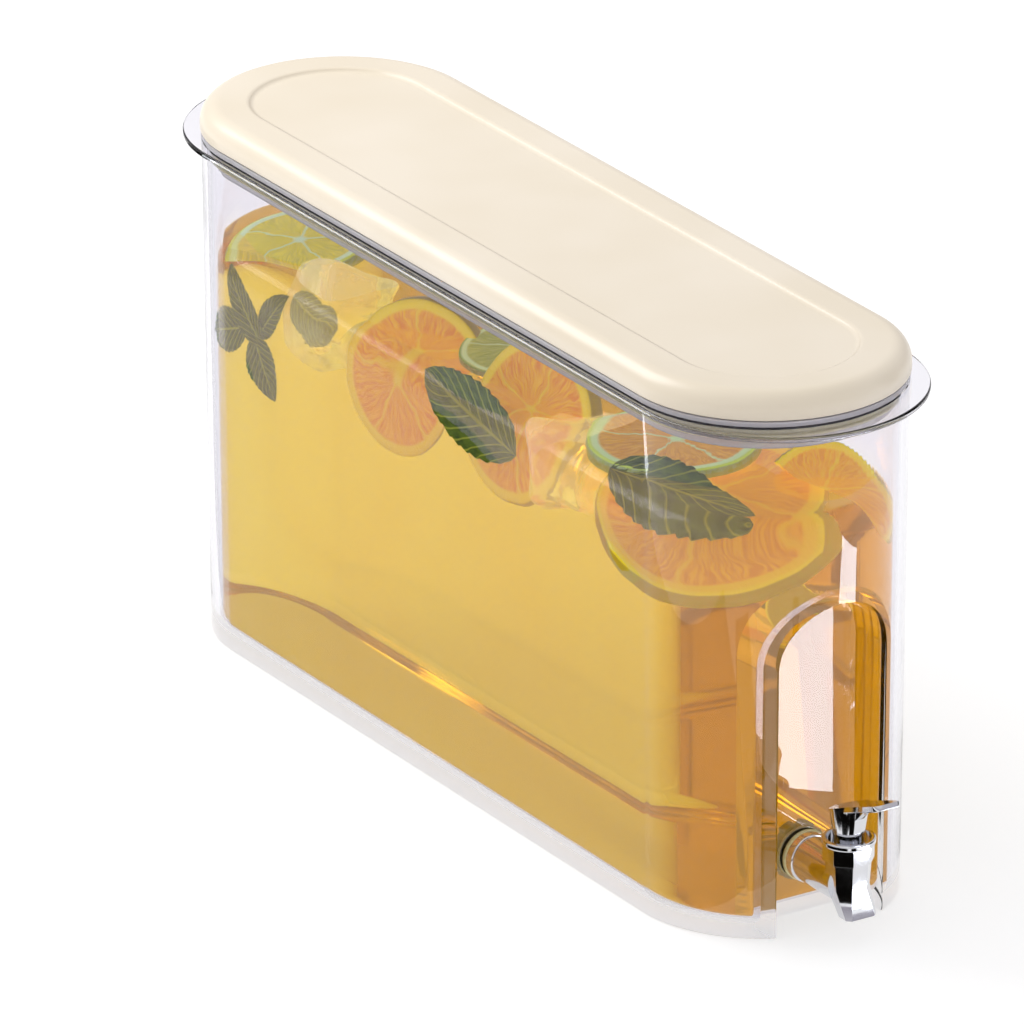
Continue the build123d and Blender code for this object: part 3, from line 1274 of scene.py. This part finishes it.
@dataclass
class Studio:
    """Pale floor, soft surroundings, cards for the gloss to see, and the camera."""

    distance: float = 4.344
    azimuth: float = -32.617
    elevation: float = 22.508
    aim: Triple = (0.0, 0.0, 0.0902)
    lens: float = 458.04
    shift: tuple[float, float] = (-0.0348, -0.0104)
    floor_z: float = 0.00005
    floor_glow: float = 0.62
    sky_strength: float = 0.9
    card_z: float = 0.0015

    def glow(self, name: str, colour: str, strength: float) -> Material:
        """Makes a plain light-giving material for a card.

        Args:
            name: the material's name.
            colour: colour of its light.
            strength: strength of its light.

        Returns:
            The material.
        """
        material = bpy.data.materials.new(name)
        material.use_nodes = True
        tree = material.node_tree
        tree.nodes.clear()
        light = add(tree, "Emission", {"Color": linear(colour), "Strength": strength})
        add(tree, "OutputMaterial", {"Surface": light})
        return material

    def card(
        self,
        name: str,
        centre: Triple,
        size: tuple[float, float],
        finish: Material,
        turn: float | None = None,
    ) -> None:
        """Adds a card that only gloss sees, facing the tank or lying on the floor.

        Args:
            name: the card's name.
            centre: its middle, in metres.
            size: its width and height, in metres.
            finish: its material.
            turn: turn of a lying card about Z, in degrees.
        """
        form = bmesh.new()
        bmesh.ops.create_grid(form, x_segments=1, y_segments=1, size=0.5)
        bmesh.ops.scale(form, vec=(size[0], size[1], 1), verts=form.verts)
        if turn is None:
            swing = (Vector(self.aim) - Vector(centre)).to_track_quat("Z", "Y").to_matrix()
        else:
            swing = Matrix.Rotation(math.radians(turn), 3, "Z")
        bmesh.ops.rotate(form, verts=form.verts, cent=(0, 0, 0), matrix=swing)
        bmesh.ops.translate(form, verts=form.verts, vec=centre)
        card = to_object(form, name)
        card.data.materials.append(finish)
        card.visible_camera = False
        card.visible_shadow = False
        card.visible_diffuse = False
        card.visible_transmission = False

    def floor(self) -> None:
        """Pale floor that gives back a soft light of its own."""
        form = bmesh.new()
        bmesh.ops.create_grid(form, x_segments=4, y_segments=4, size=15)
        bmesh.ops.translate(form, verts=form.verts, vec=(0, 0, self.floor_z))
        floor = to_object(form, "studio_floor")
        tree, shader, place = Finish("pale_studio_floor", "#B9B9B9", roughness=0.8).start()
        mottle = add(tree, "TexNoise", {"Vector": place, "Scale": 3.0})
        tint = add(
            tree, "ValToRGB", {"Fac": mottle}, [(0.3, linear("#B6B6B6")), (0.7, linear("#BBBBBB"))]
        )
        feed(tree, shader, {
            "Base Color": tint,
            "Emission Color": (1, 1, 1, 1),
            "Emission Strength": self.floor_glow,
            "Specular IOR Level": 0.0,
        })
        floor.data.materials.append(bpy.data.materials["pale_studio_floor"])

    def surroundings(self) -> None:
        """Soft light from above, greyer towards the horizon."""
        world = bpy.data.worlds.new("soft_studio")
        world.use_nodes = True
        tree = world.node_tree
        tree.nodes.clear()
        way = add(tree, "TexCoord")
        height = add(tree, "SeparateXYZ", {0: way.outputs["Generated"]})
        sky = add(
            tree,
            "ValToRGB",
            {"Fac": height.outputs[2]},
            [(0.0, linear("#A9A4AE")), (0.35, linear("#E4E2E6")), (1.0, linear("#FFFFFF"))],
        )
        light = add(tree, "Background", {"Color": sky, "Strength": self.sky_strength})
        add(tree, "OutputWorld", {"Surface": light})
        bpy.context.scene.world = world

    def soft_light(self, name: str, place: Triple, size: float, power: float) -> None:
        """Adds a square soft light that looks at the tank.

        Args:
            name: the light's name.
            place: where it stands, in metres.
            size: length of its side, in metres.
            power: its power, in watts.
        """
        lamp = bpy.data.lights.new(name, "AREA")
        lamp.size = size
        lamp.energy = power
        thing = bpy.data.objects.new(name, lamp)
        bpy.context.scene.collection.objects.link(thing)
        thing.location = place
        look = Vector(self.aim) - Vector(place)
        thing.rotation_euler = look.to_track_quat("-Z", "Y").to_euler()

    def camera(self) -> None:
        """Camera above and to the left of the tap's end."""
        a, e = math.radians(self.azimuth), math.radians(self.elevation)
        look = Vector((-math.sin(a) * math.cos(e), math.cos(a) * math.cos(e), -math.sin(e)))
        data = bpy.data.cameras.new("camera")
        data.lens = self.lens
        data.sensor_width = 36.0
        data.shift_x, data.shift_y = self.shift
        data.clip_end = 60.0
        thing = bpy.data.objects.new("camera", data)
        bpy.context.scene.collection.objects.link(thing)
        thing.location = Vector(self.aim) - look * self.distance
        thing.rotation_euler = look.to_track_quat("-Z", "Y").to_euler()
        bpy.context.scene.camera = thing

    def build(self) -> None:
        """Builds the whole studio."""
        self.floor()
        self.surroundings()
        self.soft_light("key_light", (-0.45, 0.75, 0.95), 0.7, 7.0)
        white = self.glow("white_card", "#EEF4FF", 16.0)
        soft = self.glow("soft_card", "#F4FAFF", 8.0)
        dark = self.glow("dark_card", "#141210", 0.4)
        for name, x, y, size, finish, turn in (
            ("strip_card", 0.119, -0.332, (0.23, 0.085), white, -43.0),
            ("dark_card_left", -0.13, -0.27, (0.22, 0.05), dark, -147.0),
            ("dark_card_front", -0.03, -0.33, (0.22, 0.03), dark, -100.0),
            ("dark_card_behind", -0.1685, 0.22, (0.227, 1.0), dark, 0.0),
            ("rim_card", -0.294, 0.36, (0.022, 0.44), soft, 0.0),
        ):
            self.card(name, (x, y, self.card_z), size, finish, turn)
        self.card("dark_card_right", (0.7, -0.3, 0.25), (0.35, 0.6), dark)
        self.camera()
        bpy.context.scene.view_settings.view_transform = "Standard"


def main() -> None:
    """Builds the dispenser, its drink and the studio."""
    logging.basicConfig(level=logging.INFO, format="%(name)s: %(message)s")
    clear = ClearStyrene().build()
    chrome = PlatedChrome().build()
    seal = Speckled("silicone_rubber", colour="#EFE8B8", shade="#E2D89C", roughness=0.5).build()
    nylon = Speckled("grey_nylon", colour="#6A5A48", shade="#54463A", roughness=0.45).build()
    brass = Speckled(
        "turned_brass_rod", colour="#C9A55A", shade="#B8924A", roughness=0.28, metallic=1.0
    ).build()
    rubber = Speckled(
        "black_nitrile_rubber", colour="#26262A", shade="#1C1C20", roughness=0.6
    ).build()
    steel = Speckled(
        "drawn_spring_steel", colour="#A8ACB4", shade="#8E929A", roughness=0.25, metallic=1.0
    ).build()
    tank = Tank()
    tank.build(clear)
    lid = Lid()
    lid.cover(CreamPolypropylene().build())
    lid.plate(ClearStyrene("moulded_hazy_styrene", "#F1EFF4", 0.22, transmission=0.55).build())
    lid.gasket(seal)
    tap = Tap()
    tap.build(chrome, seal, nylon)
    tap.dress_inside(
        {
            "bonnet_gasket": seal,
            "seat_plug": seal,
            "stem": brass,
            "stem_o_ring": rubber,
            "lever_pin": steel,
        }
    )
    tap.spring(steel)
    drink = Drink(tank)
    drink.juice(CitrusDrink().build())
    drink.fruit()
    drink.mint()
    drink.ice()
    Studio().build()


if __name__ == "__main__":
    main()
